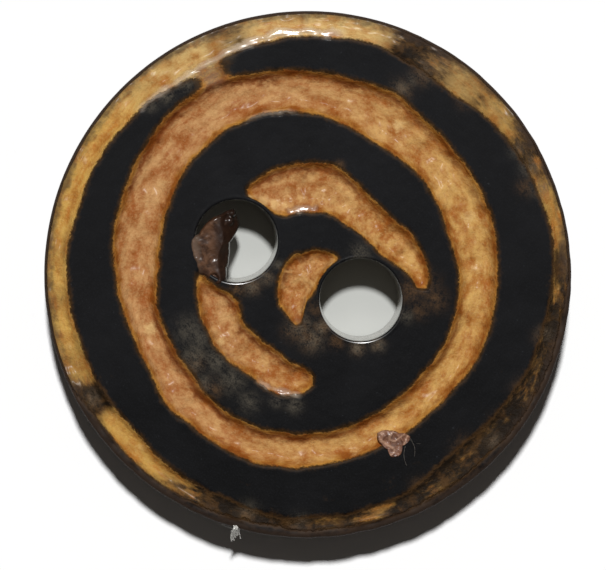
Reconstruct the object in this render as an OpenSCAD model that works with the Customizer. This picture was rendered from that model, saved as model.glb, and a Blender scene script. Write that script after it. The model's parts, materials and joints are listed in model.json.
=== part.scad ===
// Carved sew-through button: a round disc with a dark skin, rings cut through the skin by hand,
// and two drilled thread holes. The disc lies on its flat back, with the holes along X.

/* [Disc] */
// Diameter across the rim
button_d = 20.3; // [19:0.1:26]
// Thickness from the back to the dark face
button_t = 3; // [2:0.1:5]
// Round of the rim's front edge
front_round = 0.15; // [0.05:0.05:0.2]
// Round of the rim's back edge
back_round = 0.4; // [0.1:0.05:0.8]

/* [Thread holes] */
// Diameter of each hole
hole_d = 3.2; // [2.4:0.1:3.4]
// Distance between the holes' centres
hole_spacing = 5.3; // [4.6:0.1:5.6]
// Distance of the drilled pair from the disc's middle, towards +X
hole_shift = -0.4; // [-0.5:0.05:0.4]
// Width of the broken edge at each hole's mouths
hole_break = 0.08; // [0.04:0.01:0.12]

/* [Rim cut] */
// Distance from the rim to the middle of the cut that follows it
rim_cut_inset = 0.6; // [0.5:0.05:0.9]
// Width of the rim cut
rim_cut_w = 0.7; // [0.5:0.05:0.8]
// Depth of the rim cut
rim_cut_depth = 0.4; // [0.2:0.05:0.8]

/* [Middle ring] */
// Width of the dark band left between the rim cut and the middle ring
band_w = 1.8; // [1.5:0.1:2]
// Width of the middle ring
ring_w = 1.4; // [1.1:0.05:1.6]
// Depth of the middle ring
ring_depth = 0.55; // [0.2:0.05:1]

/* [Inner cuts] */
// Radius of the broken inner ring's centre line
arc_r = 3.5; // [3.3:0.05:3.7]
// Width of the broken inner ring
arc_w = 1.4; // [1.1:0.05:1.6]
// Depth of the broken inner ring and of the crescent
arc_depth = 0.5; // [0.2:0.05:1]
// Skin left standing between a cut and a thread hole
hole_lip = 0.15; // [0.13:0.01:0.25]
// Skin left standing between the crescent and the left-hand hole
crescent_gap = 0.45; // [0.2:0.05:0.6]

/* [Hand] */
// Angle from the line of the holes to the zero from which the cuts were laid out
carving_turn = 25; // [0:1:45]
// Lean of the cut walls from upright
wall_lean = 24; // [10:1:35]
// Share by which the gouge rises and dips along a cut
gouge_ripple = 0.12; // [0:0.01:0.25]
// Width of the nick that joins the rim cut to the middle ring
nick_w = 1; // [0.6:0.1:1.4]
// Depth of the nick
nick_depth = 0.15; // [0.1:0.05:0.25]

/* [Hidden] */
$fn = 96;

button_r = button_d / 2;
hole_r = hole_d / 2;
hole_x = [hole_shift - hole_spacing / 2, hole_shift + hole_spacing / 2];
rim_cut_r = button_r - rim_cut_inset;
ring_r = rim_cut_r - rim_cut_w / 2 - band_w - ring_w / 2;
// The crescent fills the web between the holes at its widest
crescent_w = hole_spacing - hole_d - hole_lip - crescent_gap;
// How far each cutter stands above the face
overshoot = 0.2;
// Angle between two sections of a cutter
section_step = 4;
// Angle over which the hand's corners are eased
ease = 4;
// Width at which a cut has run out
tip_w = 0.15;
// Angle of the nick, where the dark band is narrowest, and radius of its middle
nick_at = 116;
nick_r = ring_r + ring_w / 2 + 0.65 * band_w;

// The hand's wander, as read from the carving: angle, drift of the inner edge, drift of the outer edge.
// Angles are counted from carving_turn, and a drift is outwards where it is positive.
RIM_HAND = [
    [0, 0.25, 0.1], [6, 0.35, 0.4], [12, 0.35, 0.5], [18, 0.3, 0.5], [30, 0.1, 0.45], [42, 0, 0.45],
    [48, -0.15, 0.45], [54, -0.45, 0.45], [60, -0.05, 0.45], [66, -0.2, 0.45], [72, 0.1, 0.5], [84, 0, 0.5],
    [102, -0.05, 0.5], [108, -0.2, 0.5], [123, -0.35, 0.5], [132, -0.15, 0.55], [144, -0.1, 0.5],
    [150, 0.05, 0.5], [162, 0, 0.5], [174, 0.1, 0.5], [180, 0.15, 0.5], [186, 0, 0.45], [204, -0.1, 0.4],
    [210, 0, -0.1], [216, -0.2, -0.15], [222, -0.25, -0.1], [234, -0.1, -0.05], [250, 0, -0.1],
    [270, 0.2, -0.05], [290, 0.1, -0.1], [312, -0.35, -0.1], [330, 0, 0], [345, 0.1, -0.05]
];
// How hard the gouge was pressed round the rim: angle and share of the full depth.
RIM_PRESS = [
    [0, 0.5], [12, 0.8], [24, 0.4], [42, 0.7], [62, 0.35], [76, 1], [202, 1], [209, 0.4], [216, 0.9],
    [236, 0.9], [246, 0.3], [264, 0.25], [275, 0.5], [288, 0.5], [298, 0.3], [340, 0.35], [360, 0.5]
];
RING_HAND = [
    [0, -0.2, -0.1], [20, -0.4, 0], [40, -0.25, -0.05], [56, -0.3, 0.05], [64, -0.35, 0.4], [75, -0.05, 0.25],
    [90, 0.25, 0.45], [105, 0.45, 0.6], [120, 0.4, 0.85], [135, 0.25, 0.75], [150, 0.1, 0.45],
    [165, -0.2, 0.25], [180, -0.25, 0.05], [195, -0.05, -0.25], [210, -0.15, -0.35], [222, -0.1, 0],
    [235, 0.1, -0.1], [248, 0.25, 0.1], [262, 0.15, 0.1], [280, 0.1, -0.15], [300, -0.05, -0.25],
    [320, -0.15, -0.3], [340, -0.1, -0.1]
];
UPPER_ARC_HAND = [
    [-6, 1.45, 0.55], [0, 1.1, 0.5], [8, 0.6, 0.35], [15, 0.05, 0.25], [24, 0, -0.05], [32, -0.2, -0.3],
    [45, -0.35, -0.4], [60, -0.35, -0.25], [75, -0.3, 0.15], [90, -0.35, 0.1], [105, -0.4, 0.1],
    [115, -0.35, 0], [122, 0, -0.1], [127, 1.15, -0.15]
];
LOWER_ARC_HAND = [
    [178, 1.35, 0], [182, 1.15, 0.05], [187, 0.8, 0.1], [192, 0.4, 0.15], [200, 0.1, 0.2], [208, 0.1, 0.25],
    [216, 0.25, 0.3], [230, 0.3, 0.3], [242, 0.3, 0.25], [252, 0.5, 0.5], [262, 0.65, 0.5], [269, 0.85, 0.3],
    [273, 1.15, -0.05]
];
// The crescent is counted round the right-hand hole, from the skin left at its edge.
CRESCENT_HAND = [
    [120, 0, -1.3], [126, 0, -0.95], [134, 0, -0.55], [146, 0, -0.2], [160, 0, 0], [172, 0.05, 0],
    [182, 0.3, -0.1], [190, 0.45, -0.25], [198, 0.5, -0.5], [203, 0.6, -0.7]
];

// A closed ring's stations, with the last and the first repeated a turn away so that the ends meet.
function closed_hand(hand) = let (
    first = hand[0],
    last = hand[len(hand) - 1]
) concat(
    [[last[0] - 360, last[1], last[2]]],
    hand,
    [[first[0] + 360, first[1], first[2]]]
);

// Drift of one edge at an angle: side 1 is the inner edge and side 2 the outer.
function drift(hand, angle, side) = let (
    track = [for (station = hand) [station[0], station[side]]]
) (lookup(angle - ease, track) + 2 * lookup(angle, track) + lookup(angle + ease, track)) / 4;

// Reach of the left-hand hole and its lip along a ray from the disc's middle, or 0 where the ray misses.
function hole_reach(angle) = let (
    keep_r = hole_r + hole_lip,
    along = hole_x[0] * cos(angle),
    across = hole_x[0] * sin(angle)
) along > 0 && abs(across) < keep_r ? along + sqrt(keep_r ^ 2 - across ^ 2) : 0;

// Depth along a cut: full where the cut is wide, shallow where it runs out to a tip.
function gouge_depth(depth, width, angle) = min(depth, width * 0.45)
    * (1 + gouge_ripple * (sin(angle * 11) + sin(angle * 17 + 60)) / 2);

// Section of a cutter across a cut, from the outer top edge round its trough to the inner top edge,
// as points of radius and height over the face.
function trough(inner, outer, depth) = let (
    middle = (inner + outer) / 2,
    half = (outer - inner) / 2,
    flare = overshoot * tan(wall_lean),
    wall_foot = half - min(0.65 * depth * tan(wall_lean), 0.3 * half),
    floor_edge = 0.5 * half,
    right_side = [[half + flare, overshoot], [wall_foot, -0.65 * depth], [floor_edge, -0.94 * depth]],
    left_side = [for (i = [2:-1:0]) [-right_side[i][0], right_side[i][1]]]
) [for (p = concat(right_side, [[0, -depth]], left_side)) [middle + p[0], p[1]]];

// One cut: its trough swept round the origin at the face's height, kept off the lip of a hole it passes.
module cut(hand, radius, width, depth, closed = false, passes_hole = false, press = [[0, 1]]) {
    stations = closed ? closed_hand(hand) : hand;
    start = closed ? 0 : hand[0][0];
    sweep = closed ? 360 : hand[len(hand) - 1][0] - start;
    steps = ceil(sweep / section_step);
    rings = closed ? steps : steps + 1;
    sections = [
        for (i = [0:rings - 1])
            let (
                angle = start + sweep * i / steps,
                keep_off = passes_hole ? hole_reach(angle + carving_turn) : 0,
                inner = max(keep_off, radius - width / 2 + drift(stations, angle, 1)),
                outer = max(inner + tip_w, radius + width / 2 + drift(stations, angle, 2)),
                section_depth = gouge_depth(depth, outer - inner, angle) * lookup(angle, press)
            ) [
                for (p = trough(inner, outer, section_depth))
                    [p[0] * cos(angle), p[0] * sin(angle), button_t + p[1]]
            ]
    ];
    sides = len(sections[0]);
    walls = [
        for (i = [0:steps - 1], j = [0:sides - 1])
            let (
                here = i * sides,
                next = (i + 1) % rings * sides,
                k = (j + 1) % sides
            ) each [[here + j, next + j, next + k], [here + j, next + k, here + k]]
    ];
    ends = closed ? [] : [
        [for (j = [0:sides - 1]) j],
        [for (j = [sides - 1:-1:0]) steps * sides + j]
    ];
    polyhedron(points = [for (section = sections) each section], faces = concat(walls, ends), convexity = 10);
}

// Half of the disc's section, with a round at each edge of the rim.
module disc_section() {
    square([button_r - back_round, button_t - front_round]);
    translate([0, back_round])
        square([button_r - front_round, button_t - back_round]);
    translate([0, back_round])
        square([button_r, button_t - front_round - back_round]);
    translate([button_r - back_round, back_round])
        circle(back_round);
    translate([button_r - front_round, button_t - front_round])
        circle(front_round);
}

module disc() {
    rotate_extrude()
        disc_section();
}

// One drilled hole, with its sharp edge broken at both mouths.
module thread_hole() {
    translate([0, 0, -overshoot])
        cylinder(r = hole_r, h = button_t + 2 * overshoot);
    for (mouth = [[0, 0], [button_t, 180]])
        translate([0, 0, mouth[0]])
            rotate([mouth[1], 0, 0])
                translate([0, 0, -hole_break])
                    cylinder(r1 = hole_r + 2 * hole_break, r2 = hole_r, h = 2 * hole_break);
}

// The nick in the band between the rim cut and the middle ring: a shallow scoop along a ray.
module nick() {
    scoop_r = (nick_w ^ 2 / 4 + nick_depth ^ 2) / (2 * nick_depth);
    rotate(nick_at)
        translate([nick_r, 0, button_t - nick_depth + scoop_r])
            rotate([0, 90, 0])
                cylinder(r = scoop_r, h = 0.8 * band_w, center = true);
}

// Every cut in the face.
module carving() {
    rotate(carving_turn) {
        cut(RIM_HAND, rim_cut_r, rim_cut_w, rim_cut_depth, closed = true, press = RIM_PRESS);
        nick();
        cut(RING_HAND, ring_r, ring_w, ring_depth, closed = true);
        for (hand = [UPPER_ARC_HAND, LOWER_ARC_HAND])
            cut(hand, arc_r, arc_w, arc_depth, passes_hole = true);
    }
    translate([hole_x[1], 0])
        rotate(carving_turn)
            cut(CRESCENT_HAND, hole_r + hole_lip + crescent_w / 2, crescent_w, arc_depth);
}

module button() {
    difference() {
        color("#17181b")
            disc();
        color("#c98d4e")
            carving();
        color("#2b2722")
            for (x = hole_x)
                translate([x, 0])
                    thread_hole();
    }
}

button();
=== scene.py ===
"""Carved two-hole button lying on a pale floor, seen from straight above."""
import json
import math
import random
from types import SimpleNamespace

import bmesh
import bpy
from mathutils import Matrix, Vector, noise
from mathutils.bvhtree import BVHTree


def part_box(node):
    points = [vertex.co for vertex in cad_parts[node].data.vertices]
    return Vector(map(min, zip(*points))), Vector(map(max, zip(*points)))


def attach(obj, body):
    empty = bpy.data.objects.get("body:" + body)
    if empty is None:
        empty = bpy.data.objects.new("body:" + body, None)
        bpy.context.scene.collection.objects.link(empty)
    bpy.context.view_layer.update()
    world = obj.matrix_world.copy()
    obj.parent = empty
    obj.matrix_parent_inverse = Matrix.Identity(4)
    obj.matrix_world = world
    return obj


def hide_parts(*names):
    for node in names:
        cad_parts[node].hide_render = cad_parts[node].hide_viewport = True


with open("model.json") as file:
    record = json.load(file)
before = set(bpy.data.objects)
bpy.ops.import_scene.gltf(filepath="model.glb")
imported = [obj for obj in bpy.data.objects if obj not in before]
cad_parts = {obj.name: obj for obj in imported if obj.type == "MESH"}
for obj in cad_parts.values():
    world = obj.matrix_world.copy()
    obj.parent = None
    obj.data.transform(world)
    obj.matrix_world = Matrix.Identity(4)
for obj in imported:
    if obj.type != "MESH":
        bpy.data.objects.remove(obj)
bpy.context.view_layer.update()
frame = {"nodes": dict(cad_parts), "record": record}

MM = 0.001
RND = random.Random(32)

# The disc and its holes, as the frame has them
DISC_LOW, DISC_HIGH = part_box("button")
DISC_R = (DISC_HIGH.x - DISC_LOW.x) / 2
FACE_Z = DISC_HIGH.z
HOLES = [
    (Vector(mount["pos_m"][:2]), mount["dims"]["r_mm"] * MM)
    for mount in frame["record"]["mounts"]
    if mount["kind"] == "bore"
]

# Levels and roundings of the disc: the lowest level of the carved face, its front edge and its back edge
CARVED_Z = FACE_Z - 0.8 * MM
FRONT_EDGE = 0.15 * MM
BACK_EDGE = 0.4 * MM
# Values kept at each vertex of the button, which its finish reads
FACE_VALUES = ("cut_depth", "within", "lee", "pool", "bore", "mouth", "scuff", "smear", "pale", "stain")

# Angle from the picture's right-hand side to the line of the holes, the picture's width and its scale
PICTURE_TURN = math.radians(25.3)
PICTURE_W_PX = 606
PX_PER_MM = 26


def on_picture(x, y, z=0.0):
    """Picture millimetres from the disc's middle, right and up, as a place in the frame."""
    c, s = math.cos(PICTURE_TURN), math.sin(PICTURE_TURN)
    return Vector(((x * c - y * s) * MM, (x * s + y * c) * MM, z * MM))


def round_picture(angle, radius):
    """Picture degrees and millimetres round the disc's middle, as a place in the frame."""
    a = math.radians(angle)
    return on_picture(radius * math.cos(a), radius * math.sin(a))


def picture_angle(x, y):
    return math.degrees(math.atan2(y, x) - PICTURE_TURN) % 360


def srgb(r, g, b):
    """A colour as read from a screen, 0 to 255, as the shader takes it."""
    def linear(v):
        v /= 255
        return v / 12.92 if v <= 0.04045 else ((v + 0.055) / 1.055) ** 2.4
    return (linear(r), linear(g), linear(b), 1.0)


def smooth(low, high, value):
    t = min(1.0, max(0.0, (value - low) / (high - low)))
    return t * t * (3 - 2 * t)


def lumps(x, y, per_mm, seed):
    """Smooth seeded unevenness from -1 to 1."""
    return noise.noise(Vector((x / MM * per_mm + seed * 17.3, y / MM * per_mm - seed * 9.1, seed * 3.7)))


def finish_mesh(bm, name, material):
    mesh = bpy.data.meshes.new(name)
    for face in bm.faces:
        face.smooth = True
    bm.to_mesh(mesh)
    bm.free()
    piece = bpy.data.objects.new(name, mesh)
    bpy.context.scene.collection.objects.link(piece)
    mesh.materials.append(material)
    return piece


class Shade:
    """A socket of a finish, on which arithmetic adds Math nodes."""

    def __init__(self, finish, socket):
        self.finish = finish
        self.socket = socket

    def _math(self, operation, a, b):
        return self.finish.add("ShaderNodeMath", {"operation": operation}, {0: a, 1: b})

    def __add__(self, other):
        return self._math("ADD", self, other)

    def __radd__(self, other):
        return self._math("ADD", other, self)

    def __sub__(self, other):
        return self._math("SUBTRACT", self, other)

    def __rsub__(self, other):
        return self._math("SUBTRACT", other, self)

    def __mul__(self, other):
        return self._math("MULTIPLY", self, other)

    def __rmul__(self, other):
        return self._math("MULTIPLY", other, self)

    def at_most(self, other):
        return self._math("MINIMUM", self, other)

    def at_least(self, other):
        return self._math("MAXIMUM", self, other)


class Finish:
    """A material whose nodes are added one at a time."""

    def __init__(self, name):
        self.material = bpy.data.materials.new(name)
        self.material.use_nodes = True
        self.tree = self.material.node_tree
        self.surface = self.tree.nodes["Principled BSDF"]

    def add(self, kind, settings=None, inputs=None, out=0):
        node = self.tree.nodes.new(kind)
        for key, value in (settings or {}).items():
            setattr(node, key, value)
        for key, value in (inputs or {}).items():
            self.feed(node.inputs[key], value)
        return Shade(self, node.outputs[out])

    def feed(self, socket, value):
        if isinstance(value, Shade):
            self.tree.links.new(value.socket, socket)
        else:
            socket.default_value = value

    def set(self, **sockets):
        for key, value in sockets.items():
            self.feed(self.surface.inputs[key.replace("_", " ")], value)

    def place(self):
        """Object coordinates in millimetres."""
        return self.scaled(self.add("ShaderNodeTexCoord", out=3), 1000.0)

    def scaled(self, vector, factor):
        return self.add("ShaderNodeVectorMath", {"operation": "SCALE"}, {0: vector, "Scale": factor})

    def vector(self, operation, a, b=None, out=0):
        inputs = {0: a} if b is None else {0: a, 1: b}
        return self.add("ShaderNodeVectorMath", {"operation": operation}, inputs, out)

    def along(self, where, direction):
        """How far a place lies in a direction, in millimetres."""
        return self.vector("DOT_PRODUCT", where, direction, out=1)

    def attribute(self, name):
        return self.add("ShaderNodeAttribute", {"attribute_name": name}, out=2)

    def grain(self, where, per_mm, detail=3.0, roughness=0.55, twist=0.0):
        return self.add("ShaderNodeTexNoise", None, {
            "Vector": where, "Scale": per_mm, "Detail": detail, "Roughness": roughness, "Distortion": twist})

    def step(self, value, low, high):
        return self.add("ShaderNodeMapRange", {"interpolation_type": "SMOOTHSTEP"}, {
            "Value": value, "From Min": low, "From Max": high})

    def mix(self, factor, a, b):
        """A colour between two others."""
        return self.add("ShaderNodeMix", {"data_type": "RGBA"}, {0: factor, 6: a, 7: b}, out=2)

    def blend(self, factor, a, b):
        """A number between two others."""
        return self.add("ShaderNodeMix", {"data_type": "FLOAT"}, {0: factor, 2: a, 3: b})

    def bump(self, height, depth_mm, strength=1.0, under=None):
        inputs = {"Height": height, "Distance": depth_mm * MM, "Strength": strength}
        if under is not None:
            inputs["Normal"] = under
        return self.add("ShaderNodeBump", None, inputs)


def marks(*rows):
    """Marks on the face from picture degrees and millimetres: angle, radius, reach, strength."""
    return [
        (round_picture(angle, radius).xy, reach * MM, strength)
        for angle, radius, reach, strength in rows
    ]


def mark_at(places, spot):
    """Strongest of a list of marks at a spot."""
    best = 0.0
    for centre, reach, strength in places:
        dx, dy = (spot.x - centre.x) / reach, (spot.y - centre.y) / reach
        gap = dx * dx + dy * dy
        if gap < 6:
            best = max(best, strength * math.exp(-gap))
    return best


# Grey haze where the skin is rubbed
SCUFFS = marks(
    (205, 5.05, 0.5, 0.75), (216, 5.35, 0.6, 0.75), (223, 4.75, 0.5, 0.85), (226, 5.8, 0.35, 0.7),
    (234, 5.0, 0.5, 0.75), (211, 4.8, 0.4, 0.7), (245, 5.4, 0.4, 0.65), (261, 1.95, 0.4, 0.8),
    (274, 2.5, 0.4, 0.8), (284, 2.1, 0.25, 0.9), (304, 3.4, 0.25, 1.0), (315, 3.8, 0.25, 0.9),
    (337, 4.1, 0.25, 0.7), (191, 2.2, 0.3, 0.9), (184, 1.6, 0.25, 0.8), (162, 1.2, 0.2, 0.7),
    (23, 2.2, 0.35, 0.7), (58, 9.5, 0.35, 0.8), (60, 9.0, 0.35, 0.7), (62, 8.5, 0.22, 0.6),
    (63.5, 8.0, 0.3, 0.7), (264, 5.05, 0.3, 0.8), (256, 5.0, 0.25, 0.7), (110, 9.0, 0.25, 0.7),
    (115, 8.9, 0.35, 1.2), (119, 8.85, 0.35, 1.3), (123, 8.8, 0.33, 1.3), (128, 8.8, 0.3, 1.2),
    (133, 8.9, 0.25, 1.0), (116, 8.5, 0.5, 1.3), (20, 9.6, 0.35, 1.0), (26, 9.5, 0.35, 1.0),
    (31, 9.4, 0.3, 0.8), (256, 9.4, 0.35, 0.7), (268, 9.5, 0.3, 0.7), (318, 9.6, 0.3, 0.7),
    (346, 9.4, 0.3, 0.7), (210, 9.6, 0.3, 1.0),
)
# Brown smears of the wood's colour over the skin
SMEARS = marks(
    (351, 4.0, 0.4, 0.9), (355, 4.55, 0.45, 1.0), (349, 5.0, 0.4, 0.9), (343, 4.5, 0.35, 0.7),
    (261, 2.1, 0.45, 0.9), (272, 2.5, 0.4, 0.9), (252, 2.3, 0.3, 0.7), (280, 1.35, 0.25, 0.8),
    (284, 2.1, 0.3, 1.0), (293, 2.8, 0.25, 1.0), (304, 3.4, 0.25, 0.9), (315, 3.8, 0.22, 0.8),
    (191, 2.75, 0.3, 1.0), (191, 2.2, 0.3, 0.9), (184, 1.6, 0.25, 0.8), (218, 5.5, 0.35, 0.7),
    (230, 5.7, 0.35, 0.8), (63, 7.9, 0.4, 0.8), (60, 8.9, 0.4, 0.8), (74, 4.34, 0.18, 1.5),
    (48, 9.0, 0.3, 0.7), (312, 9.1, 0.45, 0.9), (298, 9.25, 0.35, 0.8), (322, 9.3, 0.35, 0.6),
    (332, 9.3, 0.35, 0.6), (345, 9.3, 0.3, 0.6), (22, 9.0, 0.3, 0.7),
)
# Pale places on the wood
PALES = marks(
    (121, 3.3, 0.28, 1.0), (115, 3.0, 0.25, 1.0), (108, 2.8, 0.2, 0.8), (127, 3.7, 0.22, 0.8),
    (199, 6.4, 0.35, 0.9), (58.5, 6.7, 0.35, 0.8), (19.5, 6.6, 0.4, 0.7), (217, 4.2, 0.3, 0.8),
    (2, 6.5, 0.4, 0.7), (148, 6.6, 0.4, 0.6), (90, 9.7, 0.4, 0.7), (97, 9.6, 0.4, 0.7),
    (226, 9.3, 0.35, 0.7), (216, 9.2, 0.3, 0.6), (285, 7.0, 0.35, 0.6),
)
# Lines along which varnish has filled a cut wall to an easy slope, and on which the finish lays a pale
# colour, partly milky varnish and partly painted highlight: half width, shine, then angles and radii
POOLS = [
    (0.13, 0.8, [(80, 9.33), (88, 9.36), (95, 9.38), (101, 9.28), (106, 9.17), (111, 9.1)]),
    (0.1, 0.6, [(106, 9.17), (112, 9.08), (118, 9.0), (124, 8.95), (130, 9.0), (137, 9.15)]),
    (0.08, 0.4, [(93, 6.28), (98, 6.35), (103, 6.42), (108, 6.44), (113, 6.42)]),
    (0.1, 0.6, [(80, 2.62), (90, 2.55), (100, 2.5), (110, 2.58)]),
    (0.08, 0.6, [(243, 4.5), (250, 4.55), (256, 4.6), (262, 4.64), (268, 4.62)]),
]
# Dark stain in the rim cut, as angle and strength
RIM_STAIN = [
    (0, 0.75), (6, 0.5), (12, 0.3), (18, 0.35), (22, 0.6), (28, 0.85), (33, 0.75), (37, 0.45),
    (42, 0.4), (45, 0.55), (48, 0.45), (52, 0.35), (56, 0.55), (61, 0.75), (64, 0.9), (67, 0.9),
    (70, 0.5), (74, 0.15), (80, 0.05), (102, 0.05), (106, 0.5), (112, 0.45), (116, 0.05), (132, 0.2),
    (140, 0.05), (168, 0.1), (174, 0.35), (180, 0.05), (186, 0.35), (192, 0.1), (198, 0.3), (204, 0.35),
    (208, 1.0), (212, 0.9), (216, 0.15), (232, 0.2), (240, 0.7), (246, 0.95), (266, 1.0), (271, 0.9),
    (274, 0.7), (278, 1.0), (282, 0.9), (285, 0.6), (288, 0.65), (292, 0.95), (300, 0.85), (306, 0.95),
    (318, 0.95), (326, 0.85), (330, 0.7), (336, 0.9), (342, 0.8), (350, 0.95), (355, 0.85), (360, 0.75),
]


def round_rim(stations, angle):
    """Value at an angle, straight between the stations."""
    for (a, low), (b, high) in zip(stations, stations[1:]):
        if a <= angle <= b:
            return low + (high - low) * (angle - a) / (b - a)
    return stations[-1][1]


def lathe_disc(bm, spokes=496, ring_gap=0.06 * MM, edge=FRONT_EDGE, back_edge=BACK_EDGE):
    """The uncarved disc without its back: a half section of fine steps, spun round the axis."""
    flat = DISC_R - edge
    rings = round(flat / ring_gap)
    section = [(flat * i / rings, FACE_Z) for i in range(rings + 1)]
    for i in range(1, 6):
        a = math.pi / 2 * i / 5
        section.append((flat + edge * math.sin(a), FACE_Z - edge + edge * math.cos(a)))
    for i in range(1, 5):
        section.append((DISC_R, FACE_Z - edge - (FACE_Z - edge - back_edge) * i / 4))
    for i in range(1, 5):
        a = math.pi / 2 * i / 4
        section.append((DISC_R - back_edge + back_edge * math.cos(a), back_edge - back_edge * math.sin(a)))
    verts = [bm.verts.new((x, 0, z)) for x, z in section]
    edges = [bm.edges.new(pair) for pair in zip(verts, verts[1:])]
    bmesh.ops.spin(bm, geom=verts + edges, cent=(0, 0, 0), axis=(0, 0, 1), angle=2 * math.pi,
                   steps=spokes, use_merge=True)
    bmesh.ops.remove_doubles(bm, verts=bm.verts, dist=1e-7)


def carve_face(bm, layers, ragged=0.08 * MM):
    """Brings the face down to the carved solid, with a ragged edge and a rough floor to each cut."""
    solid = frame["nodes"]["button"].data
    carved = BVHTree.FromPolygons([v.co for v in solid.vertices], [p.vertices for p in solid.polygons])
    down = Vector((0, 0, -1))
    ledge_r = DISC_R - FRONT_EDGE - 0.02 * MM
    for vert in bm.verts:
        x, y = vert.co.x, vert.co.y
        radius = math.hypot(x, y)
        if vert.co.z < FACE_Z - FRONT_EDGE - 0.01 * MM:
            continue
        if radius > ledge_r:
            x, y = x * ledge_r / radius, y * ledge_r / radius
        near_hole = min((vert.co.xy - centre).length - r for centre, r in HOLES)
        calm = smooth(0.12 * MM, 0.4 * MM, near_hole) * smooth(DISC_R - 0.3 * MM, DISC_R - 0.8 * MM, radius)
        wander = ragged * calm
        dx = wander * (lumps(x, y, 1.6, 1) + 0.8 * lumps(x, y, 4, 2) + 0.4 * lumps(x, y, 8, 16))
        dy = wander * (lumps(x, y, 1.6, 3) + 0.8 * lumps(x, y, 4, 4) + 0.4 * lumps(x, y, 8, 17))
        hit = carved.ray_cast(Vector((x + dx, y + dy, FACE_Z + MM)), down)[0]
        depth = FACE_Z - hit.z if hit is not None and hit.z > 0.3 * FACE_Z else 0.0
        floor = smooth(0.1 * MM, 0.4 * MM, depth)
        rough = 0.07 * lumps(x, y, 2.2, 5) + 0.045 * lumps(x, y, 4.5, 6) + 0.02 * lumps(x, y, 9, 7)
        skin_rough = 0.006 * lumps(x, y, 0.8, 8) + 0.004 * lumps(x, y, 4, 9)
        sink = depth - rough * floor * MM + (0.008 - skin_rough) * MM * (1 - floor)
        vert.co.z -= max(0.0, sink)
        if radius < DISC_R - 0.11 * MM:
            vert[layers["cut_depth"]] = depth / MM


def fill_pools(bm, layers, deep=0.1 * MM, slope=0.195):
    """Lays varnish along the lines of POOLS, falling towards the picture's top, and writes their shine, which
    the finish uses for gloss and a painted highlight.
    """
    for vert in bm.verts:
        if vert.co.z < CARVED_Z:
            continue
        x, y = vert.co.x, vert.co.y
        angle = picture_angle(x, y)
        for half_width, shine, line in POOLS:
            first, last = line[0][0], line[-1][0]
            if not first < angle < last:
                continue
            out = vert.co.xy.length / MM - round_rim(line, angle)
            ends = smooth(first, first + 4, angle) * smooth(last, last - 4, angle)
            ragged = 1.1 * lumps(x, y, 2.6, 13) + 0.5 * lumps(x, y, 6, 15)
            share = smooth(1.6, 0.6, abs(out) / half_width + ragged) * ends
            fall = slope * out * math.sin(math.radians(angle)) - 0.012 * lumps(x, y, 5, 14)
            level = FACE_Z - deep - fall * MM
            vert.co.z += (level - vert.co.z) * share
            vert[layers["pool"]] = max(vert[layers["pool"]], share * shine)


def wear_rim(bm):
    """Knocks the rim's front edge about, always inwards."""
    for vert in bm.verts:
        radius = vert.co.xy.length
        if radius < DISC_R - 0.32 * MM or vert.co.z < CARVED_Z:
            continue
        x, y = vert.co.x, vert.co.y
        knock = max(0.0, lumps(x, y, 0.9, 11)) * 0.1 + max(0.0, lumps(x, y, 2.6, 12)) * 0.07
        reach = smooth(CARVED_Z, FACE_Z - 0.3 * MM, vert.co.z)
        vert.co.z -= knock * MM * reach
        pull = 1 - knock * 0.3 * MM * reach / radius
        vert.co.x *= pull
        vert.co.y *= pull


def spread(bm, layer, passes):
    """Evens out a value over the mesh, each vertex taking the mean of its neighbours."""
    verts = bm.verts[:]
    bm.verts.index_update()
    beside = [[edge.other_vert(v).index for edge in v.link_edges] for v in verts]
    values = [v[layer] for v in verts]
    for _ in range(passes):
        values = [sum(values[i] for i in near) / len(near) for near in beside]
    for vert, value in zip(verts, values):
        vert[layer] = value


def shade_edges(bm, layers):
    """Writes how far each place lies inside a cut, from 0 on the skin to 1 on the floor, and how much
    the cut around it faces away from the picture's top, where the lamp is, for the painted shade at the foot
    of the walls."""
    bm.normal_update()
    north = on_picture(0, 1).normalized()
    for vert in bm.verts:
        vert[layers["within"]] = smooth(0.02, 0.08, vert[layers["cut_depth"]])
        if vert[layers["cut_depth"]] > 0:
            vert[layers["lee"]] = max(0.0, -vert.normal.dot(north))
    spread(bm, layers["within"], 18)
    spread(bm, layers["lee"], 5)


def join_close(bm, ring, centre, gap=0.012 * MM):
    """Joins the vertices of a ring that lie closer than a gap, in their order round its middle."""
    ring = sorted(ring, key=lambda v: math.atan2(v.co.y - centre.y, v.co.x - centre.x))
    kept, joined = ring[0], {}
    for vert in ring[1:]:
        if (vert.co - kept.co).length < gap:
            joined[vert] = kept
        else:
            kept = vert
    bmesh.ops.weld_verts(bm, targetmap=joined)


def hole_section(hole_r, mouth_r, flare, mouth=0.05 * MM, back_mouth=0.08 * MM, taper=0.1 * MM):
    """Radius and height of the steps from a hole's worn mouth down its wall to the back."""
    bend = [math.pi / 2 * i / 7 for i in range(1, 8)]
    steps = [(mouth_r - flare * math.sin(a), FACE_Z - mouth + mouth * math.cos(a)) for a in bend]
    wall = FACE_Z - mouth - back_mouth
    steps += [(hole_r - taper * i / 5, FACE_Z - mouth - wall * i / 5) for i in range(1, 6)]
    bend = [math.pi / 2 * i / 3 for i in range(1, 4)]
    end_r = hole_r - taper + back_mouth
    steps += [(end_r - back_mouth * math.cos(a), back_mouth - back_mouth * math.sin(a)) for a in bend]
    return steps


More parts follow.
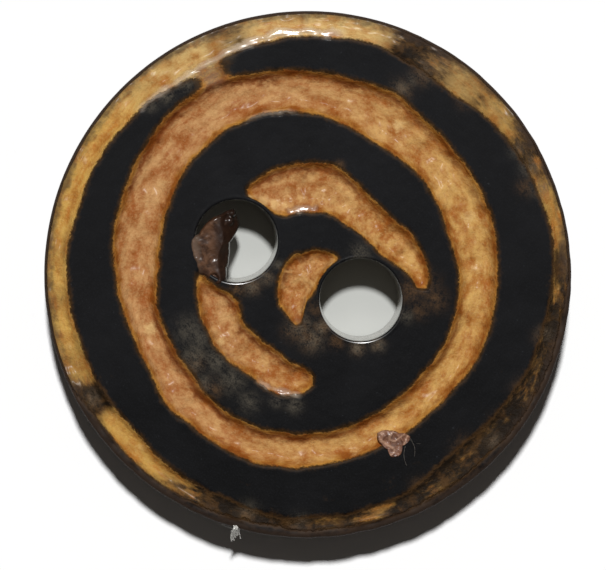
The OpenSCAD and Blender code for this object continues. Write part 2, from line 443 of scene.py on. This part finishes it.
def drill_hole(bm, centre, hole_r, layers, flare=0.1 * MM, mouth=0.05 * MM):
    """Opens one thread hole: the face is cut away to a worn mouth, which is drawn down to the back."""
    mouth_r = hole_r + flare
    inside = [f for f in bm.faces
              if f.calc_center_median().z > 0.5 * FACE_Z
              and (f.calc_center_median().xy - centre).length < mouth_r]
    bmesh.ops.delete(bm, geom=inside, context="FACES")
    loop = [e for e in bm.edges
            if e.is_boundary and (e.verts[0].co.xy - centre).length < mouth_r + 0.2 * MM]
    ring = list(dict.fromkeys(v for e in loop for v in e.verts))
    for vert in ring:
        out = (vert.co.xy - centre).normalized() * mouth_r
        vert.co = Vector((centre.x + out.x, centre.y + out.y, FACE_Z))
        for name in ("cut_depth", "within", "lee", "pool"):
            vert[layers[name]] = 0.0
    join_close(bm, ring, centre)
    loop = [e for e in bm.edges
            if e.is_boundary and abs((e.verts[0].co.xy - centre).length - mouth_r) < 0.02 * MM]
    for radius, height in hole_section(hole_r, mouth_r, flare, mouth):
        made = bmesh.ops.extrude_edge_only(bm, edges=loop)["geom"]
        loop = [g for g in made if isinstance(g, bmesh.types.BMEdge) and g.is_boundary]
        for vert in {v for e in loop for v in e.verts}:
            out = (vert.co.xy - centre).normalized() * radius
            vert.co = Vector((centre.x + out.x, centre.y + out.y, height))
            vert[layers["mouth"]] = smooth(FACE_Z - 1.5 * mouth, FACE_Z - mouth, height)
            vert[layers["bore"]] = 1.0 - vert[layers["mouth"]]


def close_back(bm):
    """Fills the flat back between the rim and the holes."""
    edges = [e for e in bm.edges if e.is_boundary]
    bmesh.ops.triangle_fill(bm, edges=edges, use_beauty=True, normal=(0, 0, -1))


def mark_face(bm, layers):
    """Writes where the face is scuffed, smeared, pale and stained."""
    for vert in bm.verts:
        if vert.co.z < CARVED_Z:
            continue
        vert[layers["scuff"]] = mark_at(SCUFFS, vert.co)
        vert[layers["smear"]] = mark_at(SMEARS, vert.co)
        vert[layers["pale"]] = mark_at(PALES, vert.co)
        if vert.co.xy.length > 8.3 * MM:
            vert[layers["stain"]] = round_rim(RIM_STAIN, picture_angle(vert.co.x, vert.co.y))


def carved_button(material):
    bm = bmesh.new()
    layers = {name: bm.verts.layers.float.new(name) for name in FACE_VALUES}
    lathe_disc(bm)
    carve_face(bm, layers)
    face = [v for v in bm.verts if v.co.z > FACE_Z - 0.9 * MM and v.co.xy.length < DISC_R - 0.1 * MM]
    for _ in range(3):
        bmesh.ops.smooth_vert(bm, verts=face, factor=0.5, use_axis_x=False, use_axis_y=False, use_axis_z=True)
    shade_edges(bm, layers)
    fill_pools(bm, layers)
    wear_rim(bm)
    mark_face(bm, layers)
    for centre, hole_r in HOLES:
        drill_hole(bm, centre, hole_r, layers)
    close_back(bm)
    bmesh.ops.recalc_face_normals(bm, faces=bm.faces)
    return finish_mesh(bm, "carved_button", material)


def button_grains(f, where, flat, radius):
    """Noise over the face, and noise drawn out round the rings except near the middle."""
    spoke = f.vector("NORMALIZE", flat)
    along = f.vector("ADD", f.scaled(spoke, 3.2), f.add("ShaderNodeCombineXYZ", None, {2: radius}))
    along = f.add("ShaderNodeMix", {"data_type": "VECTOR"}, {
        0: f.step(radius, 1.9, 2.3), 4: where, 5: along}, out=1)
    return SimpleNamespace(
        ragged=f.grain(where, 3.0, 4.0, 0.65),
        fine=f.grain(where, 10.0, 3.0, 0.65),
        broad=f.grain(where, 0.5, 2.0),
        blotch=f.grain(along, 2.1, 6.0, 0.66, 0.15),
        patch=f.grain(where, 1.1, 4.0, 0.65, 0.2),
        streak=f.grain(along, 3.4, 5.0, 0.66, 0.1),
        speck=f.grain(along, 7.0, 4.0, 0.7),
        grit=f.grain(where, 17.0, 2.0, 0.7),
        dust=f.grain(where, 5.5, 2.0, 0.8),
    )


def skin_colour(f, g, on, height, scuff):
    """Bluish black, with brown smears and grey rubbed places, and painted shade that darkens it towards the
    picture's bottom, away from the lamp.
    """
    # Lighter in broad random patches, and painted shade: darker towards the picture's bottom, away from the
    # lamp
    tone_and_painted_shade = f.step(g.broad, 0.35, 0.7) * 0.4 + f.step(height, -9, 4) * 0.6
    skin = f.mix(tone_and_painted_shade, srgb(5, 5, 6), srgb(19, 19, 21))
    skin = f.mix(f.step(g.dust, 0.68, 0.8) * 0.1, skin, srgb(110, 115, 122))
    skin = f.mix(f.step(g.grit, 0.45, 0.75) * 0.2, skin, srgb(40, 42, 47))
    cloud = f.step(g.ragged * 0.4 + g.speck * 0.3 + g.grit * 0.3, 0.38, 0.62)
    skin = f.mix(on.smear.at_most(1.0) * cloud * 0.8, skin, srgb(96, 70, 44))
    return f.mix(scuff * 0.6, skin, srgb(112, 104, 90))


def floor_tan(f, g, right):
    """Mottled tan for the floors of the cuts, more golden to the picture's right."""
    dark_tan = f.mix(right, srgb(150, 86, 38), srgb(160, 98, 38))
    pale_tan = f.mix(right, srgb(198, 152, 100), srgb(206, 164, 94))
    tan = f.mix(f.step(g.blotch * 0.6 + g.patch * 0.4, 0.37, 0.61), dark_tan, pale_tan)
    tan = f.mix(f.step(g.streak, 0.46, 0.72) * 0.5, tan, srgb(152, 78, 28))
    tan = f.mix(f.step(g.fine, 0.46, 0.7) * 0.22, tan, srgb(214, 180, 128))
    tan = f.mix(f.step(g.speck, 0.54, 0.76) * 0.4, tan, srgb(124, 66, 30))
    return f.mix(f.step(g.grit, 0.52, 0.7) * 0.1, tan, srgb(116, 64, 32))


def edge_ochre(f, g, height, at_rim):
    """Yellow ochre, pale in the rim cut and darker at the edges of the other cuts."""
    spots = g.blotch * 0.5 + g.patch * 0.5
    pale_ochre = f.mix(f.step(height, 5, 9), srgb(214, 170, 88), srgb(218, 184, 120))
    rim = f.mix(f.step(spots, 0.36, 0.58), srgb(166, 106, 42), pale_ochre)
    rim = f.mix(f.step(g.streak, 0.48, 0.7) * 0.6, rim, srgb(182, 104, 30))
    rim = f.mix(f.step(g.speck, 0.54, 0.76) * 0.45, rim, srgb(120, 78, 38))
    rim = f.mix(f.step(g.fine, 0.48, 0.74) * 0.25, rim, srgb(222, 192, 130))
    edge = f.mix(f.step(spots, 0.38, 0.6), srgb(140, 78, 28), srgb(188, 134, 62))
    edge = f.mix(f.step(g.speck, 0.52, 0.74) * 0.4, edge, srgb(112, 62, 24))
    return f.mix(at_rim, edge, rim)


def wood_colour(f, g, on, height, right, radius):
    """Ochre edges, tan floors, painted shade in red-brown at the foot of the walls, strongest on walls facing
    away from the lamp, and pale places.
    """
    at_rim = f.step(radius, 8.5, 8.8)
    floor = f.step(on.within + (g.ragged - 0.5) * 0.4 + (g.patch - 0.5) * 0.9 - at_rim, 0.62, 0.9)
    wood = f.mix(floor, edge_ochre(f, g, height, at_rim), floor_tan(f, g, right))
    # Painted shade: red-brown along the foot of the walls, strongest where the cut faces away from the lamp
    inner = on.within + (g.ragged - 0.5) * 0.4 + (g.speck - 0.5) * 0.2
    foot = f.step(inner, 0.66, 0.84) * (1 - f.step(inner, 0.86, 1.04))
    lee = f.step(on.lee + (g.patch - 0.5) * 0.5, 0.05, 0.35)
    painted_crease_shade = foot * (0.12 + 0.78 * lee * (1 - right * 0.5)) * f.step(g.patch, 0.28, 0.54) * (1 - at_rim)
    wood = f.mix(painted_crease_shade, wood, srgb(118, 56, 18))
    pale = f.step(on.pale + (g.ragged - 0.5) * 0.8 + (g.fine - 0.5) * 0.5, 0.35, 0.95)
    return f.mix(pale * 0.65, wood, srgb(224, 188, 128))


def worn_wood(f, g, on, wood, stain, scuff):
    """The wood with brown and black stain in the rim cut, and grey where it is rubbed."""
    tinge = (on.stain * 1.5).at_most(1.0) * f.step(g.blotch, 0.2, 0.6)
    wood = f.mix(tinge, wood, srgb(98, 70, 40))
    brown = f.mix(f.step(g.patch + (g.speck - 0.5) * 0.3, 0.46, 0.66), srgb(20, 17, 14), srgb(72, 50, 27))
    wood = f.mix(stain * 0.95, wood, brown)
    return f.mix(scuff * 0.65, wood, srgb(118, 100, 80))


def button_finish():
    """Black skin, honey wood where it is cut, and varnish that gathers on the cut walls, with painted shade
    on the skin and at the foot of the walls, and a painted highlight on the varnish pools.
    """
    f = Finish("stained_and_carved_wood")
    where = f.place()
    flat = f.vector("MULTIPLY", where, (1, 1, 0))
    radius = f.vector("LENGTH", flat, out=1)
    g = button_grains(f, where, flat, radius)
    on = SimpleNamespace(**{name: f.attribute(name) for name in FACE_VALUES})
    height = f.along(where, on_picture(0, 1).normalized())
    right = f.step(f.along(where, on_picture(1, -0.3).normalized()), -5, 7)
    haze = f.step(g.streak * 0.4 + g.speck * 0.3 + g.grit * 0.3, 0.38, 0.62)
    scuff = on.scuff.at_most(1.0) * haze
    stain = f.step(on.stain + (g.blotch - 0.5) * 1.2 + (g.speck - 0.5) * 0.7, 0.45, 0.9)
    skin = skin_colour(f, g, on, height, scuff)
    wood = worn_wood(f, g, on, wood_colour(f, g, on, height, right, radius), stain, scuff)

    # Soft brown edge between skin and wood
    rough_edge = (g.ragged - 0.5) * 0.4 + (g.fine - 0.5) * 0.25 + (g.blotch - 0.5) * on.stain * 0.9
    inside = on.within + rough_edge
    cut = f.step(inside, 0.36, 0.56).at_least(f.step(on.cut_depth + rough_edge * 0.3, 0.08, 0.18))
    colour = f.mix(f.step(inside, 0.1, 0.42) * 0.75, skin, srgb(70, 48, 24))
    colour = f.mix(cut, colour, wood)

    # Knocked rim, pale colour on the varnish pools that is partly milky varnish and partly painted highlight,
    # and the walls of the holes
    bitten = radius + (g.ragged - 0.5) * 0.6 + (g.blotch - 0.5) * 0.8
    colour = f.mix(f.step(bitten, 9.66, 10.1) * 0.75, colour, srgb(58, 46, 38))
    # Painted highlight: pale colour on the varnish pools, partly milky varnish
    colour = f.mix(on.pool * 0.5, colour, srgb(206, 190, 172))
    mottle = f.step(g.speck * 0.6 + g.grit * 0.4, 0.4, 0.62)
    colour = f.mix(on.bore, colour, f.mix(mottle, srgb(116, 108, 96), srgb(160, 153, 142)))

    # Dull skin and wood, with a clear coat in the pools, the holes and their mouths
    gloss = 0.5 + 0.1 * (g.speck - 0.5) + scuff * 0.2
    rough = f.blend(on.bore, f.blend(cut, gloss, 0.55 - on.pool * 0.2), 0.25)
    varnish = on.pool + cut * (1 - stain) * 0.05 + on.bore + on.mouth * 0.8
    f.set(Base_Color=colour, Roughness=rough, Specular_IOR_Level=0.06)
    f.set(Coat_Weight=varnish, Coat_Roughness=0.2)
    grainy = f.bump((g.fine * 0.5 + g.speck * 0.3 + g.grit * 0.2) * (0.15 + 0.85 * cut), 0.06, 0.6)
    f.set(Normal=f.bump(g.ragged * cut, 0.09, 0.8, grainy))
    return f.material


def chip_finish():
    """Dried brown flake, greyer and duller to the picture's left, and darker on the glossy side that falls
    into the hole, partly dark resin and partly painted shade.
    """
    f = Finish("brown_flake")
    where = f.place()
    across = f.along(where, on_picture(1, 0).normalized())
    body = f.grain(where, 1.8, 4.0, 0.65, 0.5)
    fine = f.grain(where, 9.0, 3.0, 0.7)
    colour = f.mix(f.step(body, 0.38, 0.66), srgb(52, 33, 22), srgb(98, 68, 48))
    # Partly dark glossy resin and partly painted shade, on the side that falls into the hole
    side = f.step(across + (body - 0.5) * 0.6, -3.75, -3.3)
    colour = f.mix(side * 0.85, colour, srgb(34, 20, 14))
    rim = 1 - f.step(across + (body - 0.5) * 0.5, -4.35, -4.05)
    colour = f.mix(rim * 0.5, colour, srgb(116, 97, 82))
    colour = f.mix(f.step(fine, 0.6, 0.76) * 0.3, colour, srgb(122, 94, 70))
    f.set(Base_Color=colour, Roughness=0.45 + 0.25 * fine, Normal=f.bump(body * 0.7 + fine * 0.3, 0.1, 0.8))
    f.set(Coat_Weight=side * 0.8 + 0.1, Coat_Roughness=0.18, Specular_IOR_Level=0.12)
    return f.material


# Outlines of the chip and the crumb about their middles, as angle and millimetres
CHIP_EDGE = [
    (0, 0.59), (22, 0.64), (34, 0.98), (43, 1.32), (54, 1.5), (64, 1.72), (73, 1.5), (81, 1.33),
    (98, 1.14), (119, 0.92), (136, 0.82), (156, 0.97), (189, 0.85), (218, 0.88), (240, 1.11),
    (251, 1.1), (263, 1.2), (274, 1.37), (288, 1.38), (301, 0.91), (329, 0.66), (360, 0.59),
]
CRUMB_EDGE = [
    (0, 0.62), (15, 0.68), (55, 0.36), (110, 0.42), (155, 0.7), (195, 0.5), (235, 0.42), (262, 0.66),
    (295, 0.62), (330, 0.4), (360, 0.62),
]
# Middles of the chip and the crumb, in picture millimetres
CHIP_AT = (-3.6, 1.0)
CRUMB_AT = (3.3, -6.4)
# Height over the face that no bit of dirt passes
DIRT_TOP = 0.085
# Drops of glossy resin on the chip: across, up, height over the face
CHIP_DROPS = [(0.68, 1.4, -0.22), (0.58, 1.06, -0.16), (-0.02, -1.12, -0.12)]


def scrap(name, at, edge, top, bottom, material):
    """A closed lump with a given outline, between two uneven surfaces given in picture millimetres."""
    bm = bmesh.new()
    painted_highlight_gap = bm.verts.layers.float.new("painted_highlight_gap")
    bmesh.ops.create_icosphere(bm, subdivisions=6, radius=1.0)
    for vert in bm.verts:
        n = vert.co.normalized()
        turn = math.degrees(math.atan2(n.y, n.x)) % 360
        reach = round_rim(edge, turn) * math.hypot(n.x, n.y)
        u, v = reach * math.cos(math.radians(turn)), reach * math.sin(math.radians(turn))
        high, low = top(u, v), bottom(u, v)
        middle = high * 0.7 + low * 0.3
        body = min(1.0, abs(n.z) * 2.5)
        height = middle + ((high if n.z > 0 else low) - middle) * body
        # Gap from the lines on which the crumb's finish paints highlights
        vert[painted_highlight_gap] = abs(noise.noise(Vector((u * 2.2, v * 2.2, 4.0))))
        vert.co = on_picture(at[0] + u, at[1] + v, FACE_Z / MM + min(DIRT_TOP, height))
    bmesh.ops.recalc_face_normals(bm, faces=bm.faces)
    return finish_mesh(bm, name, material)


def ridged(u, v, per_mm, seed):
    return abs(noise.noise(Vector((u * per_mm + seed, v * per_mm - seed, seed * 0.7))))


def chip_in_hole(material):
    """A flake stuck in the left-hand hole: thin on the face, falling steeply from its ridge into the hole."""
    def top(u, v):
        ridge = 0.24 + 0.06 * v + 0.08 * math.sin(4 * v)
        fall = 0.035 * (ridge - u) if u < ridge else 1.2 * (u - ridge)
        height = DIRT_TOP - fall - 0.07 * ridged(u, v, 1.6, 5) - 0.03 * ridged(u, v, 4, 9)
        for across, up, level in CHIP_DROPS:
            gap = math.hypot(u - across, v - up)
            height += (level + 0.05 * (1 - (gap / 0.14) ** 2) - height) * smooth(0.2, 0.12, gap)
        return height

    def bottom(u, v):
        spot = on_picture(CHIP_AT[0] + u, CHIP_AT[1] + v)
        centre, hole_r = HOLES[0]
        return -0.3 - 0.8 * smooth(hole_r + 0.1 * MM, hole_r - 0.4 * MM, (spot.xy - centre).length)

    return scrap("chip_in_hole", CHIP_AT, CHIP_EDGE, top, bottom, material)


def crumb_finish():
    """Brown crumb with painted pinkish highlights along its folds."""
    f = Finish("crumb")
    where = f.place()
    body = f.grain(where, 2.6, 4.0, 0.65)
    fine = f.grain(where, 12.0, 3.0, 0.7)
    # Painted highlight: pinkish colour along the folds
    painted_fold_highlight = 1 - f.step(f.attribute("painted_highlight_gap") + (fine - 0.5) * 0.1, 0.02, 0.16)
    colour = f.mix(f.step(body, 0.35, 0.68), srgb(92, 58, 42), srgb(138, 94, 70))
    colour = f.mix(painted_fold_highlight * 0.5, colour, srgb(198, 158, 130))
    colour = f.mix(f.step(fine, 0.58, 0.72) * 0.5, colour, srgb(66, 42, 32))
    f.set(Base_Color=colour, Roughness=0.45 + 0.3 * fine, Normal=f.bump(body * 0.6 + fine * 0.4, 0.09, 0.8))
    f.set(Coat_Weight=0.25, Coat_Roughness=0.25)
    return f.material


def crumb_on_ring(material):
    """A crumpled crumb, lying over the edge of the middle ring."""
    def top(u, v):
        return 0.09 - 0.13 * ridged(u, v, 2.2, 4) - 0.05 * ridged(u, v, 5, 8)

    def bottom(u, v):
        return -0.42

    return scrap("crumb_on_ring", CRUMB_AT, CRUMB_EDGE, top, bottom, material)


def fibre_finish(name, pale, dark):
    f = Finish(name)
    grain = f.grain(f.place(), 8.0, 3.0)
    f.set(Base_Color=f.mix(f.step(grain, 0.35, 0.65), dark, pale), Roughness=0.6 + 0.2 * grain)
    return f.material


def fibre(bm, points, radius=0.008):
    """A fine round hair drawn through picture points: a small ring, extruded from point to point."""
    places = [on_picture(*p) for p in points]
    ring = bmesh.ops.create_circle(bm, cap_ends=True, segments=6, radius=radius * MM)["verts"]
    aim = (places[1] - places[0]).to_track_quat("Z", "Y")
    bmesh.ops.rotate(bm, verts=ring, cent=(0, 0, 0), matrix=aim.to_matrix())
    bmesh.ops.translate(bm, verts=ring, vec=places[0])
    face = next(f for f in ring[0].link_faces if all(v in ring for v in f.verts))
    for here, there in zip(places, places[1:]):
        made = bmesh.ops.extrude_face_region(bm, geom=[face])["geom"]
        if here is not places[0]:
            bmesh.ops.delete(bm, geom=[face], context="FACES_ONLY")
        verts = [g for g in made if isinstance(g, bmesh.types.BMVert)]
        face = next(g for g in made if isinstance(g, bmesh.types.BMFace))
        bmesh.ops.translate(bm, verts=verts, vec=there - here)


def wavy(start, end, bend, rise, steps=10):
    """Points of a hair from start to end, bent sideways and lifted in the middle."""
    a, b = Vector(start), Vector(end)
    side = Vector((-(b - a).y, (b - a).x, 0)).normalized()
    points = []
    for i in range(steps + 1):
        t = i / steps
        bow = math.sin(math.pi * t)
        points.append(a.lerp(b, t) + side * bend * bow + Vector((0, 0, rise * bow)))
    return points


def crumb_fibres(material):
    """Fine hairs that stand out of the crumb."""
    bm = bmesh.new()
    face = FACE_Z / MM
    fibre(bm, wavy((3.85, -6.25, face), (4.1, -7.0, face + 0.03), 0.12, 0.03))
    fibre(bm, wavy((3.75, -6.6, face), (3.8, -7.35, face + 0.03), -0.08, 0.02))
    fibre(bm, wavy((3.95, -6.3, face), (4.35, -6.5, face + 0.02), -0.08, 0.03))
    bmesh.ops.recalc_face_normals(bm, faces=bm.faces)
    return finish_mesh(bm, "crumb_fibres", material)


def rim_lint(material):
    """A tuft of pale lint caught on the lower rim."""
    bm = bmesh.new()
    face = FACE_Z / MM
    for _ in range(18):
        x, y = -2.78 + RND.uniform(-0.08, 0.08), -9.72 + RND.uniform(-0.06, 0.06)
        end = (x + RND.uniform(-0.14, 0.14), y - RND.uniform(0.3, 0.55), face - RND.uniform(0.9, 1.7))
        fibre(bm, wavy((x, y, face - 0.05), end, RND.uniform(-0.1, 0.1), RND.uniform(0.0, 0.08)), 0.024)
    fibre(bm, wavy((-2.78, -9.8, face - 0.04), (-3.3, -9.6, face - 0.04), 0.03, 0.02), 0.016)
    bmesh.ops.recalc_face_normals(bm, faces=bm.faces)
    return finish_mesh(bm, "rim_lint", material)


def floor_finish():
    """Pale card: greyer below the button, where it shows through the holes, and white around it."""
    f = Finish("pale_card")
    where = f.place()
    radius = f.vector("LENGTH", where, out=1)
    around = f.step(radius, 8.0, 9.5)
    fleck = f.step(f.grain(where, 4.0, 3.0, 0.7), 0.68, 0.76)
    under = f.mix(fleck * 0.25, (0.52, 0.53, 0.505, 1), (0.36, 0.36, 0.33, 1))
    f.set(Base_Color=f.mix(around, under, (1, 1, 1, 1)), Roughness=0.9, Specular_IOR_Level=0.0)
    return f.material


def card_floor():
    bm = bmesh.new()
    bmesh.ops.create_grid(bm, x_segments=2, y_segments=2, size=0.5)
    piece = finish_mesh(bm, "floor", floor_finish())


def camera():
    """Straight above, leaning a little to the picture's upper left."""
    sight = on_picture(-0.19, -0.39, FACE_Z / MM)
    lean, turn = math.radians(1.9), math.radians(120)
    side = math.sin(lean)
    back = on_picture(side * math.cos(turn), side * math.sin(turn), math.cos(lean)).normalized()
    up = on_picture(0, 1).normalized()
    right = up.cross(back).normalized()
    up = back.cross(right)
    lens, sensor, width = 400.0, 36.0, PICTURE_W_PX / PX_PER_MM * MM
    data = bpy.data.cameras.new("camera")
    data.lens = lens
    data.sensor_width = sensor
    data.clip_start = 0.001
    cam = bpy.data.objects.new("camera", data)
    bpy.context.scene.collection.objects.link(cam)
    turned = Matrix((right, up, back)).transposed()
    cam.matrix_world = Matrix.Translation(sight + back * width * lens / sensor) @ turned.to_4x4()
    bpy.context.scene.camera = cam


def sun(name, angle_off, turn, strength, softness):
    """A far lamp: degrees off the vertical, picture angle, strength, and size in degrees."""
    a, t = math.radians(angle_off), math.radians(turn)
    towards = on_picture(math.sin(a) * math.cos(t), math.sin(a) * math.sin(t), math.cos(a))
    data = bpy.data.lights.new(name, "SUN")
    data.energy = strength
    data.angle = math.radians(softness)
    lamp = bpy.data.objects.new(name, data)
    lamp.rotation_euler = towards.to_track_quat("Z", "Y").to_euler()
    bpy.context.scene.collection.objects.link(lamp)


def lights():
    sun("lamp_above_picture_top", 22.7, 91, 3.3, 4.5)
    world = bpy.data.worlds.new("room")
    world.use_nodes = True
    world.node_tree.nodes["Background"].inputs["Color"].default_value = (1, 0.92, 0.84, 1)
    world.node_tree.nodes["Background"].inputs["Strength"].default_value = 0.04
    bpy.context.scene.world = world


bpy.context.scene.view_settings.view_transform = "Standard"
button = carved_button(button_finish())
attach(button, "root")
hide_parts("button")
for dirt in (
    chip_in_hole(chip_finish()),
    crumb_on_ring(crumb_finish()),
    crumb_fibres(fibre_finish("grey_hair", srgb(112, 106, 98), srgb(78, 72, 66))),
    rim_lint(fibre_finish("pale_lint", srgb(226, 224, 218), srgb(180, 178, 172))),
):
    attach(dirt, "root")
card_floor()
camera()
lights()
